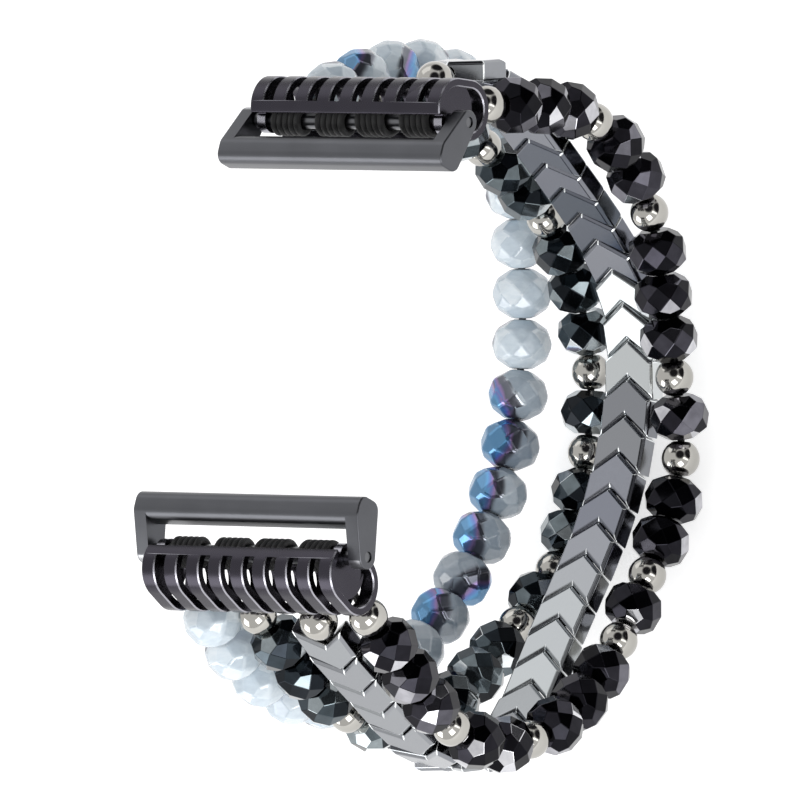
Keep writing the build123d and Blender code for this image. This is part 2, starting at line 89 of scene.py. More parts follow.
# Where the cords run, in millimetres: from the winding on the lower spring bar, through the ends of
# each bead's hole, to the winding on the upper one. The layout in the part's source works these
# points out, and they are copied here, so a change of its sizes calls for new ones.
cord_thickness = 0.75
bar_axis = {"lower": (-23.2, -1.6), "upper": (23.2, -1.6)}
cord_routes = {
    "opal": [
        (-9.87, -22.23, -2.43), (-9.87, -26.49, -7.37), (-10.46, -28.52, -12.09),
        (-10.66, -29.96, -17.19), (-10.63, -30.55, -22.51), (-10.58, -29.91, -27.86),
        (-10.59, -28.02, -32.91), (-10.6, -25.07, -37.39), (-10.6, -21.31, -41.18),
        (-10.6, -17.0, -44.26), (-10.6, -12.33, -46.69), (-10.6, -7.42, -48.56),
        (-10.6, -2.31, -49.82), (-10.6, 2.94, -50.38), (-10.6, 8.22, -50.18),
        (-10.6, 13.4, -49.2), (-10.6, 18.39, -47.62), (-10.6, 23.21, -45.62),
        (-10.6, 27.85, -43.21), (-10.6, 32.29, -40.23), (-10.6, 35.83, -36.0),
        (-10.6, 37.53, -30.71), (-10.61, 37.35, -25.23), (-10.6, 35.75, -20.1),
        (-10.51, 33.39, -15.38), (-10.29, 30.58, -10.98), (-9.88, 27.5, -6.9),
        (-9.87, 22.38, -2.57),
    ],
    "navy": [
        (-4.23, -22.25, -2.45), (-4.23, -26.61, -7.32), (-3.65, -27.98, -10.58),
        (-3.28, -29.64, -14.86), (-3.23, -31.04, -19.3), (-3.33, -31.87, -23.92),
        (-3.42, -31.87, -27.71), (-3.44, -30.91, -32.39), (-3.41, -28.94, -36.75),
        (-3.39, -26.68, -39.81), (-3.39, -23.22, -42.98), (-3.39, -19.46, -45.63),
        (-3.4, -15.7, -48.12), (-3.4, -12.68, -50.09), (-3.4, -8.64, -52.33),
        (-3.4, -5.08, -53.62), (-3.4, -0.38, -54.28), (-3.4, 4.31, -54.08),
        (-3.4, 7.97, -53.48), (-3.4, 12.43, -52.22), (-3.4, 15.87, -50.68),
        (-3.4, 19.77, -47.94), (-3.39, 22.98, -44.38), (-3.39, 25.44, -40.38),
        (-3.41, 26.96, -36.99), (-3.44, 28.34, -32.55), (-3.41, 29.18, -28.0),
        (-3.33, 29.5, -24.34), (-3.23, 29.49, -19.73), (-3.27, 29.03, -15.1),
        (-3.64, 28.12, -10.56), (-4.22, 27.12, -7.14), (-4.23, 22.32, -2.52),
    ],
    "chevron": [
        (4.23, -22.31, -2.51), (4.23, -27.05, -7.12), (3.99, -28.67, -10.7),
        (3.89, -30.08, -14.81), (3.91, -31.09, -18.63), (3.95, -32.06, -22.43),
        (3.97, -33.08, -26.24), (3.96, -33.81, -30.22), (3.95, -33.62, -34.37),
        (3.95, -31.98, -38.23), (3.95, -29.31, -41.4), (3.95, -25.93, -43.76),
        (3.95, -22.14, -45.25), (3.95, -18.28, -46.2), (3.95, -14.45, -47.08),
        (3.95, -10.66, -48.11), (3.95, -6.87, -49.14), (3.95, -3.0, -49.99),
        (3.95, 0.95, -50.53), (3.95, 4.96, -50.65), (3.95, 8.96, -50.3),
        (3.95, 12.9, -49.42), (3.95, 16.67, -47.89), (3.95, 20.06, -45.56),
        (3.95, 22.74, -42.46), (3.95, 24.76, -38.97), (3.95, 26.38, -35.33),
        (3.95, 27.8, -31.66), (3.96, 29.13, -27.97), (3.95, 30.45, -24.28),
        (3.93, 31.75, -20.54), (3.93, 32.69, -16.6), (3.97, 32.64, -12.41),
        (4.09, 30.95, -8.53), (4.23, 28.43, -5.85), (4.23, 22.6, -2.72),
    ],
    "jet": [
        (9.87, -22.23, -2.42), (9.87, -26.43, -7.39), (10.27, -27.77, -10.68),
        (10.52, -29.65, -14.82), (10.55, -31.49, -19.04), (10.48, -32.88, -23.52),
        (10.43, -33.29, -27.32), (10.43, -32.71, -32.08), (10.45, -31.03, -36.57),
        (10.46, -28.96, -39.78), (10.46, -25.66, -43.19), (10.45, -21.77, -45.92),
        (10.45, -17.54, -47.92), (10.45, -14.05, -49.08), (10.45, -9.67, -50.24),
        (10.45, -6.18, -51.09), (10.45, -1.65, -52.02), (10.45, 3.13, -52.22),
        (10.45, 6.92, -51.23), (10.45, 10.97, -48.83), (10.45, 13.91, -46.68),
        (10.45, 17.67, -44.13), (10.46, 21.59, -41.77), (10.46, 25.38, -39.09),
        (10.44, 28.05, -36.37), (10.42, 30.58, -32.28), (10.43, 32.02, -27.67),
        (10.49, 32.18, -23.81), (10.56, 31.3, -19.17), (10.52, 29.83, -14.78),
        (10.28, 28.26, -10.5), (9.88, 27.12, -7.15), (9.87, 22.32, -2.52),
    ],
}
winding_pitch = 0.72
winding_turns = 4.5
winding_radius = 1.3
# The winding's route has eight corners a turn; its corners stand out by this share, so that the
# rounded cord keeps its radius
steps_a_turn = 8
corner_reach = 1 / 0.925
# Length of one repeat of the cord's yarns, and how many stand round it
yarn_repeat = 0.6
yarns_round = 2
# How far a cord bows away from its shell's lip, so that the shell can turn
lip_bow = 0.2

# Camera: the photograph's own directions, in the part's frame, as a fit to it gave them
view_right = Vector((0.79, 0.2196, -0.5725))
view_up = Vector((-0.0172, 0.9412, 0.3373))
view_back = Vector((0.6129, -0.2566, 0.7474))
aim_height = -17
aim_right = 0.698
aim_down = 1.213
view_aim = Vector((0, 0, aim_height)) + aim_right * view_right - aim_down * view_up
view_distance = 2500
view_lens = 1110.2


# Finishes
# Sockets of a colour Mix node, whose names its number and vector sockets share
FIRST, SECOND = 6, 7


def tint(code):
    """An sRGB hex colour as linear light."""
    shares = [int(code[place : place + 2], 16) / 255 for place in (1, 3, 5)]
    light = [s / 12.92 if s <= 0.04045 else ((s + 0.055) / 1.055) ** 2.4 for s in shares]
    return (*light, 1.0)


def new_finish(name):
    finish = bpy.data.materials.new(name)
    finish.use_nodes = True
    finish.node_tree.nodes.clear()
    return finish


def add(finish, kind, settings=(), sockets=(), stops=()):
    """A node with its settings, its sockets' values or links, and a colour ramp's stops."""
    node = finish.node_tree.nodes.new(kind)
    for key, value in dict(settings).items():
        setattr(node, key, value)
    for key, value in dict(sockets).items():
        if isinstance(value, bpy.types.NodeSocket):
            finish.node_tree.links.new(value, node.inputs[key])
        else:
            node.inputs[key].default_value = value
    if stops:
        band = node.color_ramp.elements
        band[0].position, band[1].position = stops[0][0], stops[-1][0]
        for place, _ in stops[1:-1]:
            band.new(place)
        for mark, (_, colour) in zip(band, stops):
            mark.color = tint(colour)
    return node


def steel_finish(name, colour, edge_wear_and_highlight, rough, grain_mm):
    """Satin plated steel: a tumbled grain in the gloss, and lighter metal on narrow edge faces, partly
    wear and partly a painted highlight.
    """
    finish = new_finish(name)
    place = add(finish, "ShaderNodeTexCoord")
    edge = add(finish, "ShaderNodeAttribute", {"attribute_name": "edge"})
    grain = add(
        finish,
        "ShaderNodeTexNoise",
        sockets={"Vector": place.outputs["Object"], "Scale": 1 / (grain_mm * MM), "Detail": 3.0},
    )
    cloud = add(
        finish,
        "ShaderNodeTexNoise",
        sockets={"Vector": place.outputs["Object"], "Scale": 1 / (4 * MM), "Detail": 2.0},
    )
    body = add(
        finish,
        "ShaderNodeMix",
        {"data_type": "RGBA", "blend_type": "MULTIPLY"},
        {"Factor": 0.25, FIRST: tint(colour), SECOND: cloud.outputs["Fac"]},
    )
    # painted highlight and wear: narrow edge faces take the lighter edge colour
    rubbed_and_lit_edge = add(
        finish,
        "ShaderNodeMix",
        {"data_type": "RGBA"},
        {"Factor": edge.outputs["Fac"], FIRST: body.outputs[2], SECOND: tint(edge_wear_and_highlight)},
    )
    gloss = add(
        finish,
        "ShaderNodeMapRange",
        sockets={"Value": grain.outputs["Fac"], "To Min": rough - 0.05, "To Max": rough + 0.08},
    )
    relief = add(
        finish,
        "ShaderNodeBump",
        sockets={"Height": grain.outputs["Fac"], "Strength": 0.08, "Distance": 0.02 * MM},
    )
    surface = add(
        finish,
        "ShaderNodeBsdfPrincipled",
        sockets={
            "Base Color": rubbed_and_lit_edge.outputs[2],
            "Metallic": 1.0,
            "Roughness": gloss.outputs["Result"],
            "Normal": relief.outputs["Normal"],
        },
    )
    add(finish, "ShaderNodeOutputMaterial", sockets={"Surface": surface.outputs["BSDF"]})
    return finish


# Gunmetal plating over satin steel: near black with a faint violet, brighter along its edges, partly
# wear and partly painted highlight
shell_finish = steel_finish(
    "gunmetal_plated_steel", "#3b3940", edge_wear_and_highlight="#a8a7af", rough=0.25, grain_mm=0.12
)
# Bead-blasted stainless steel: pale grey, softly bright where it faces the light
lug_finish = steel_finish(
    "blasted_stainless_steel", "#5a5b5f", edge_wear_and_highlight="#a6a7aa", rough=0.32, grain_mm=0.1
)
# Turned stainless steel of the spring bars: grey with a fine grain
bar_finish = steel_finish(
    "turned_stainless_steel", "#6c6d70", edge_wear_and_highlight="#9a9b9e", rough=0.28, grain_mm=0.08
)
# Hard-drawn spring wire: darker than the bars, and glossier
wire_finish = steel_finish(
    "hard_drawn_wire", "#55565a", edge_wear_and_highlight="#808186", rough=0.22, grain_mm=0.06
)


def cord_finish():
    """Braided elastic: black yarns that cross over a rubber core, with a dull sheen."""
    finish = new_finish("braided_elastic_cord")
    wrap = add(finish, "ShaderNodeUVMap", {"uv_map": "wrap"})
    yarns = add(
        finish,
        "ShaderNodeTexBrick",
        {"offset": 0.5},
        {
            "Vector": wrap.outputs["UV"],
            "Scale": 1.0,
            "Color1": tint("#141416"),
            "Color2": tint("#0c0c0e"),
            "Mortar": tint("#050506"),
            "Mortar Size": 0.05,
            "Mortar Smooth": 1.0,
            "Brick Width": 0.5,
            "Row Height": 0.25,
        },
    )
    relief = add(
        finish,
        "ShaderNodeBump",
        {"invert": True},
        {"Height": yarns.outputs["Fac"], "Strength": 0.8, "Distance": 0.06 * MM},
    )
    surface = add(
        finish,
        "ShaderNodeBsdfPrincipled",
        sockets={
            "Base Color": yarns.outputs["Color"],
            "Roughness": 0.55,
            "Sheen Weight": 0.1,
            "Normal": relief.outputs["Normal"],
        },
    )
    add(finish, "ShaderNodeOutputMaterial", sockets={"Surface": surface.outputs["BSDF"]})
    return finish


def cut_glass_finish(name, stops, metal, rough):
    """Machine-cut glass: flat mirror facets, each painted lighter or darker than the next as a painted
    reflection.
    """
    finish = new_finish(name)
    tone = add(finish, "ShaderNodeAttribute", {"attribute_name": "tone"})
    place = add(finish, "ShaderNodeTexCoord")
    # painted reflection: each facet's tone picks its colour, from dark mirror to painted glint
    colour = add(finish, "ShaderNodeValToRGB", sockets={"Fac": tone.outputs["Fac"]}, stops=stops)
    streak = add(
        finish,
        "ShaderNodeTexNoise",
        sockets={"Vector": place.outputs["Object"], "Scale": 1 / (1.2 * MM), "Detail": 2.0},
    )
    depth = add(
        finish,
        "ShaderNodeMix",
        {"data_type": "RGBA", "blend_type": "OVERLAY"},
        {"Factor": 0.4, FIRST: colour.outputs["Color"], SECOND: streak.outputs["Fac"]},
    )
    surface = add(
        finish,
        "ShaderNodeBsdfPrincipled",
        sockets={
            "Base Color": depth.outputs[2],
            "Metallic": metal,
            "Roughness": rough,
        },
    )
    add(finish, "ShaderNodeOutputMaterial", sockets={"Surface": surface.outputs["BSDF"]})
    return finish


# Jet glass with a dark fired lustre: black mirrors, each facet's colour a painted reflection and the
# lightest ones painted glints
jet_finish = cut_glass_finish(
    "jet_cut_glass",
    [
        (0.0, "#121216"),
        (0.45, "#25242a"),
        (0.65, "#3e3d44"),
        (0.85, "#6c6b73"),
        (1.0, "#d6d6da"),
    ],
    metal=0.95,
    rough=0.05,
)
# Navy glass with a vapour-plated skin: dark blue-green mirrors, each facet's colour a painted
# reflection up to painted white glints
navy_finish = cut_glass_finish(
    "navy_plated_glass",
    [
        (0.0, "#0d1014"),
        (0.3, "#1d2329"),
        (0.5, "#40494f"),
        (0.7, "#6f787c"),
        (0.87, "#9ea5a8"),
        (1.0, "#e4e8ea"),
    ],
    metal=0.9,
    rough=0.06,
)


def opal_finish():
    """Milky opal glass, one side of each bead vapour-plated: gold, violet, then blue as it thickens;
    greyer towards each bead's rim as painted shade.
    """
    finish = new_finish("half_plated_opal_glass")
    tone = add(finish, "ShaderNodeAttribute", {"attribute_name": "tone"})
    plated = add(finish, "ShaderNodeAttribute", {"attribute_name": "plated"})
    place = add(finish, "ShaderNodeTexCoord")
    drift = add(
        finish,
        "ShaderNodeTexNoise",
        sockets={"Vector": place.outputs["Object"], "Scale": 1 / (2.5 * MM), "Detail": 2.0},
    )
    drawn_out = add(
        finish,
        "ShaderNodeMapping",
        sockets={"Vector": place.outputs["Object"], "Scale": (0.25, 1.0, 1.0)},
    )
    fibres = add(
        finish,
        "ShaderNodeTexNoise",
        sockets={"Vector": drawn_out.outputs["Vector"], "Scale": 1 / (0.5 * MM), "Detail": 3.0},
    )
    milkiness = add(
        finish,
        "ShaderNodeMix",
        {"data_type": "FLOAT"},
        {"Factor": 0.5, 2: tone.outputs["Fac"], 3: fibres.outputs["Fac"]},
    )
    milk = add(
        finish,
        "ShaderNodeValToRGB",
        sockets={"Fac": milkiness.outputs[0]},
        stops=[(0.15, "#b9c6d1"), (0.4, "#c9d5de"), (0.6, "#d8e2e9"), (0.85, "#eaf0f4")],
    )
    # painted shade: the milk turns grey towards the rim, by the angle at which the glass is seen
    rim = add(finish, "ShaderNodeLayerWeight", sockets={"Blend": 0.35})
    rim_painted_shade = add(
        finish,
        "ShaderNodeMapRange",
        {"interpolation_type": "SMOOTHSTEP"},
        {"Value": rim.outputs["Facing"], "From Min": 0.5, "From Max": 0.95},
    )
    body = add(
        finish,
        "ShaderNodeMix",
        {"data_type": "RGBA"},
        {
            "Factor": rim_painted_shade.outputs["Result"],
            FIRST: milk.outputs["Color"],
            SECOND: tint("#7c8894"),
        },
    )
    clear = add(finish, "ShaderNodeAttribute", {"attribute_name": "clear"})
    glass = add(
        finish,
        "ShaderNodeMix",
        {"data_type": "RGBA", "blend_type": "MULTIPLY"},
        {"Factor": clear.outputs["Fac"], FIRST: body.outputs[2], SECOND: tint("#a3a8b0")},
    )
    film = add(
        finish,
        "ShaderNodeMath",
        {"operation": "MULTIPLY_ADD"},
        {0: tone.outputs["Fac"], 1: 0.3, 2: plated.outputs["Fac"]},
    )
    film_drift = add(
        finish,
        "ShaderNodeMath",
        {"operation": "MULTIPLY_ADD"},
        {0: drift.outputs["Fac"], 1: 0.2, 2: film.outputs["Value"]},
    )
    film_colour = add(
        finish,
        "ShaderNodeValToRGB",
        sockets={"Fac": film_drift.outputs["Value"]},
        stops=[
            (0.28, "#8d8f98"),
            (0.42, "#63646e"),
            (0.67, "#4e505c"),
            (0.75, "#84699c"),
            (0.82, "#5a6cab"),
            (0.92, "#4a8ab9"),
            (1.0, "#44789f"),
        ],
    )
    cover = add(
        finish,
        "ShaderNodeMapRange",
        {"interpolation_type": "SMOOTHSTEP"},
        {
            "Value": film_drift.outputs["Value"],
            "From Min": 0.3,
            "From Max": 0.5,
            "To Max": 0.92,
        },
    )
    colour = add(
        finish,
        "ShaderNodeMix",
        {"data_type": "RGBA"},
        {
            "Factor": cover.outputs["Result"],
            FIRST: glass.outputs[2],
            SECOND: film_colour.outputs["Color"],
        },
    )
    metal = add(
        finish,
        "ShaderNodeMath",
        {"operation": "MULTIPLY"},
        {0: cover.outputs["Result"], 1: 0.75},
    )
    surface = add(
        finish,
        "ShaderNodeBsdfPrincipled",
        sockets={
            "Base Color": colour.outputs[2],
            "Metallic": metal.outputs["Value"],
            "Roughness": 0.1,
            "IOR": 1.52,
            "Specular IOR Level": 0.8,
            "Subsurface Weight": 0.5,
            "Subsurface Radius": (1.0, 1.0, 1.0),
            "Subsurface Scale": 0.8 * MM,
        },
    )
    add(finish, "ShaderNodeOutputMaterial", sockets={"Surface": surface.outputs["BSDF"]})
    return finish


def plate_finish(name, stops, rough, scratch_mm):
    """Polished plating: a mirror with hairline scratches, its tone lighter along edges as painted
    highlight.
    """
    finish = new_finish(name)
    tone = add(finish, "ShaderNodeAttribute", {"attribute_name": "tone"})
    place = add(finish, "ShaderNodeTexCoord")
    colour = add(finish, "ShaderNodeValToRGB", sockets={"Fac": tone.outputs["Fac"]}, stops=stops)
    hairs = add(
        finish,
        "ShaderNodeTexNoise",
        sockets={
            "Vector": place.outputs["Object"],
            "Scale": 1 / (scratch_mm * MM),
            "Detail": 4.0,
            "Distortion": 1.5,
        },
    )
    gloss = add(
        finish,
        "ShaderNodeMapRange",
        sockets={"Value": hairs.outputs["Fac"], "To Min": rough - 0.04, "To Max": rough + 0.08},
    )
    relief = add(
        finish,
        "ShaderNodeBump",
        sockets={"Height": hairs.outputs["Fac"], "Strength": 0.05, "Distance": 0.02 * MM},
    )
    surface = add(
        finish,
        "ShaderNodeBsdfPrincipled",
        sockets={
            "Base Color": colour.outputs["Color"],
            "Metallic": 1.0,
            "Roughness": gloss.outputs["Result"],
            "Normal": relief.outputs["Normal"],
        },
    )
    add(finish, "ShaderNodeOutputMaterial", sockets={"Surface": surface.outputs["BSDF"]})
    return finish


# Nickel-plated brass balls: warm silver mirrors
ball_finish = plate_finish(
    "nickel_plated_brass", [(0.0, "#a8a6a1"), (1.0, "#c4c2bd")], rough=0.07, scratch_mm=0.5
)
# Rhodium-plated haematite chevrons: grey mirrors, each plate's colour a painted reflection,
# lighter or darker by the light it would catch
chevron_finish = plate_finish(
    "plated_haematite",
    [
        (0.0, "#4c5159"),
        (0.25, "#6b6d75"),
        (0.5, "#87898d"),
        (0.75, "#a5a9aa"),
        (1.0, "#e0e3e4"),
    ],
    rough=0.15,
    scratch_mm=0.4,
)
opal_glass_finish = opal_finish()
elastic_finish = cord_finish()


# Dressing of CAD pieces: a merged copy takes each one's place. Points nearer than merge_within,
# in millimetres, are one, and faces within flat_within degrees of each other lie flat.
merge_within = 0.001
flat_within = 0.1


def merged_copy(node, name):
    """A copy of a CAD piece as a new piece, its triangles merged and its flat faces whole."""
    piece = bpy.data.objects.new(name, frame["nodes"][node].data.copy())
    scene.collection.objects.link(piece)
    piece.data.materials.clear()
    bpy.ops.object.select_all(action="DESELECT")
    bpy.context.view_layer.objects.active = piece
    piece.select_set(True)
    bpy.ops.mesh.customdata_custom_splitnormals_clear()
    bpy.ops.object.mode_set(mode="EDIT")
    bpy.ops.mesh.select_all(action="SELECT")
    bpy.ops.mesh.remove_doubles(threshold=merge_within * MM)
    bpy.ops.mesh.dissolve_limited(angle_limit=math.radians(flat_within))
    bpy.ops.object.mode_set(mode="OBJECT")
    return piece


def applied_bevel(piece, width, angle):
    """Breaks every edge that is sharper than an angle."""
    bevel = piece.modifiers.new("broken_edges", "BEVEL")
    bevel.width = width * MM
    bevel.segments = 3
    bevel.limit_method = "ANGLE"
    bevel.angle_limit = math.radians(angle)
    bevel.use_clamp_overlap = False
    bevel.harden_normals = True
    bpy.context.view_layer.objects.active = piece
    bpy.ops.object.shade_smooth()
    bpy.ops.object.modifier_apply(modifier=bevel.name)


def beads_of(work):
    """The separate beads of a merged group, each as a list of its faces."""
    found = []
    for face in work.faces:
        face.tag = False
    for first in work.faces:
        if first.tag:
            continue
        first.tag = True
        bead = [first]
        for face in bead:
            for edge in face.edges:
                for near in edge.link_faces:
                    if not near.tag:
                        near.tag = True
                        bead.append(near)
        found.append(bead)
    return found


def centre_of(bead):
    corners = {vertex for face in bead for vertex in face.verts}
    return sum((vertex.co for vertex in corners), Vector()) / len(corners)


def number_on(strand, centre):
    """Which bead of a strand stands here, counted from the lower connector."""
    route = [Vector(point) * MM for point in cord_routes[strand]]
    spans = list(zip(route[1:-1], route[2:-1]))
    return min(range(len(spans)), key=lambda k: (sum(spans[k], Vector()) / 2 - centre).length)


def settle(piece, node, finish):
    """Gives a finished piece its finish and its CAD node's body, and hides the node."""
    piece.data.materials.append(finish)
    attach(piece, frame["nodes"][node]["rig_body"])
    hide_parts(node)


def dress_cut_glass(node, finish, rarity, round_over):
    """Faceted beads: edges rounded over, and a tone for each facet, light ones rarer than dark, which
    on jet and navy glass picks a painted reflection.
    """
    piece = merged_copy(node, node + "_cut")
    chance = random.Random(node)
    work = bmesh.new()
    work.from_mesh(piece.data)
    tone = work.faces.layers.float.new("tone")
    for face in work.faces:
        face[tone] = chance.random() ** rarity
    work.to_mesh(piece.data)
    work.free()
    applied_bevel(piece, round_over, angle=8)
    settle(piece, node, finish)
    return piece


# Where each opal bead's plated side faces: degrees away from the photograph's viewer, and round the
# line of sight from its right, set against the photograph
plated_sides = {
    7: (84, 205),
    8: (62, 165),
    9: (74, 305),
    10: (70, 178),
    11: (76, 172),
    12: (60, 160),
    13: (92, 205),
    22: (97, 340),
    23: (72, 150),
}
# The rest are turned nearly away, each by this much more round the line of sight than the last
bare_away, bare_step = 157, 137.5
# Opal beads whose glass is clearer and greyer than the milky rest
clear_beads = {7: 0.6, 8: 0.8, 9: 0.8, 10: 0.7, 11: 0.6, 12: 0.9, 13: 0.5}
bead_radius = 3.15


def plate_opal(piece):
    """Marks how far each point lies towards its bead's plated side."""
    work = bmesh.new()
    work.from_mesh(piece.data)
    plated = work.verts.layers.float.new("plated")
    clear = work.verts.layers.float.new("clear")
    for bead in beads_of(work):
        centre = centre_of(bead)
        number = number_on("opal", centre)
        away, round_sight = plated_sides.get(number, (bare_away, number * bare_step))
        turn, roll = math.radians(away), math.radians(round_sight)
        side = view_right * math.cos(roll) + view_up * math.sin(roll)
        towards = view_back * math.cos(turn) + side * math.sin(turn)
        for vertex in {corner for face in bead for corner in face.verts}:
            vertex[plated] = (vertex.co - centre).dot(towards) / (bead_radius * MM)
            vertex[clear] = clear_beads.get(number, 0)
    work.to_mesh(piece.data)
    work.free()


def dress_balls(node):
    """Polished balls: one smooth skin, with the rim of each hole rolled over."""
    piece = merged_copy(node, node + "_polished")
    applied_bevel(piece, 0.08, angle=30)
    settle(piece, node, ball_finish)


# How light each chevron looks, from the lower connector to the upper one, with a value at each end
# for the strand's end balls, which don't use it: a painted reflection, for the light that each plate
# catches along the band's curve. They are set to look as in the photograph, and the ninth value to
# the seventeenth also by comparing mean tones with it.
chevron_painted_reflection = [
    0.6, 0.5, 0.6, 0.5, 0.55, 0.5, 0.5, 0.5, 0.45, 0.5, 0.57, 0.63, 0.65, 0.6, 0.55, 0.35, 0.25,
    0.3, 0.45, 0.45, 0.85, 0.7, 0.7, 0.3, 0.15, 0.05, 0.25, 0.1, 0.3, 0.15, 0.3, 0.5, 0.6,
]
# How much one face of a chevron differs from the next, and how much lighter its broken edges are
# painted, as a painted highlight; they are its faces under edge_area square millimetres
face_spread = 0.08
chevron_edge_highlight = 0.75
edge_area = 0.12


def dress_chevrons(node):
    """Chevron plates with broken edges, each as light as its painted reflection, edges as painted
    highlights.
    """
    piece = merged_copy(node, node + "_plated")
    chance = random.Random(node)
    work = bmesh.new()
    work.from_mesh(piece.data)
    tone = work.faces.layers.float.new("tone")
    for bead in beads_of(work):
        # painted reflection: each plate's lightness stands in for the light it catches on the band's
        # curve
        light = chevron_painted_reflection[number_on("chevron", centre_of(bead))]
        for face in bead:
            face[tone] = min(1, max(0, light + chance.uniform(-face_spread, face_spread)))
    work.to_mesh(piece.data)
    work.free()
    applied_bevel(piece, 0.11, angle=20)
    tones = piece.data.attributes["tone"].data
    # painted highlight: the narrow faces of the broken edges are made lighter
    for face in piece.data.polygons:
        if face.area < edge_area * MM * MM:
            tones[face.index].value = min(1, tones[face.index].value + chevron_edge_highlight)
    settle(piece, node, chevron_finish)


# A metal edge takes the lighter edge colour, partly wear and partly a painted highlight, where its
# face is narrower than the breadth below and turns outwards by more than the bend below, in degrees,
# unless it is a long thin triangle, which belongs to a round
marked_edge_breadth = 0.2
marked_edge_bend = 12
thin_triangle = 0.9
edge_mark_strength = 0.75


def finished_metal(node, name):
    """Machined and moulded metal: smooth rounds, with narrow edge faces marked for wear and painted
    highlight.
    """
    piece = merged_copy(node, name)
    work = bmesh.new()
    work.from_mesh(piece.data)
    edge = work.faces.layers.float.new("edge")
    for face in work.faces:
        round_it = max(face.calc_perimeter(), 1e-9)
        breadth = 2 * face.calc_area() / round_it
        bends = [b.calc_face_angle_signed(0) * b.calc_length() for b in face.edges]
        longest = max(b.calc_length() for b in face.edges)
        sliver = len(face.edges) == 3 and longest > thin_triangle * MM
        outwards = sum(bends) / round_it > math.radians(marked_edge_bend)
        edge_wear_and_highlight = breadth < marked_edge_breadth * MM and outwards and not sliver
        face[edge] = edge_mark_strength if edge_wear_and_highlight else 0.0
    work.to_mesh(piece.data)
    work.free()
    bpy.ops.object.shade_smooth_by_angle(angle=math.radians(25))
    return piece


def dress_metal(node, finish):
    settle(finished_metal(node, node + "_finished"), node, finish)


def dress_spring(piece, node):
    """Coil wire between its still end and the end that a pin or plunger presses, given its finish and
    fixed in place.
    """
    piece.data.materials.append(wire_finish)
    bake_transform(piece)
    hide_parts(node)


def dress_latch_spring(half):
    """The coil behind a latch's plunger, still at the plug."""
    node = half + "_latch_spring"
    piece = finished_metal(node, node + "_wire")
    dress_spring(piece, node)


def dress_bar_spring(half):
    """The coil between a spring bar's pins, in two halves that meet in the middle of the sleeve."""
    node = half + "_bar_spring"
    low, high = (Vector(corner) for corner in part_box(node))
    for side, end, outwards in (("left", low.x, -1), ("right", high.x, 1)):
        piece = finished_metal(node, node + "_wire_" + side)
        bpy.ops.object.mode_set(mode="EDIT")
        bpy.ops.mesh.select_all(action="SELECT")
        bpy.ops.mesh.bisect(
            plane_co=(0, 0, 0), plane_no=(outwards, 0, 0), use_fill=True, clear_inner=True
        )
        bpy.ops.object.mode_set(mode="OBJECT")
        dress_spring(piece, node)


metal_pieces = {
    "shell": (shell_finish, "shell_steel"),
    "lug": (lug_finish, "lug_steel"),
    "latch_plug": (lug_finish, "lug_steel"),
    "latch_plunger": (bar_finish, "spring_bar_steel"),
    "bar_sleeve": (bar_finish, "spring_bar_steel"),
    "bar_pin_left": (bar_finish, "spring_bar_steel"),
    "bar_pin_right": (bar_finish, "spring_bar_steel"),
}
for half in ("lower", "upper"):
    for kind, (finish, slot) in metal_pieces.items():
        dress_metal(half + "_" + kind, finish)
    dress_latch_spring(half)
    dress_bar_spring(half)
    plate_opal(dress_cut_glass("opal_beads_" + half, opal_glass_finish, 1, 0.3))
    dress_cut_glass("navy_beads_" + half, navy_finish, 1.2, 0.07)
    dress_balls("navy_balls_" + half)
    dress_balls("jet_balls_" + half)
    dress_balls("chevron_ball_" + half)
    dress_chevrons("chevrons_" + half)
for number in range(1, 21):
    dress_cut_glass("jet_bead_%02d" % number, jet_finish, 1.6, 0.07)


# Cords
def cord_piece(name, routes):
    """Round elastic cord along one or more routes, as one piece with its wrap laid out in yarns."""
    line = bpy.data.curves.new(name, "CURVE")
    line.dimensions = "3D"
    line.bevel_depth = cord_thickness / 2 * MM
    line.bevel_resolution = 4
    line.resolution_u = 8
    line.use_fill_caps = True
    for route in routes:
        run = line.splines.new("NURBS")
        run.points.add(len(route) - 1)
        for knot, place in zip(run.points, route):
            knot.co = (*(Vector(place) * MM), 1)
        run.order_u = 3
        run.use_endpoint_u = True
    piece = bpy.data.objects.new(name, line)
    scene.collection.objects.link(piece)
    bpy.ops.object.select_all(action="DESELECT")
    bpy.context.view_layer.objects.active = piece
    piece.select_set(True)
    bpy.ops.object.convert(target="MESH")
    bpy.ops.object.shade_smooth_by_angle(angle=math.radians(50))
    return bpy.context.view_layer.objects.active


def lay_wrap(piece, length):
    """Scales the cord's own layout so that the yarns wind round it, drawn coarse enough to show."""
    wrap = piece.data.uv_layers[0]
    wrap.name = "wrap"
    for corner in wrap.data:
        along, around = corner.uv
        turns_along = along * length / yarn_repeat
        corner.uv = (turns_along, around * yarns_round + turns_along)


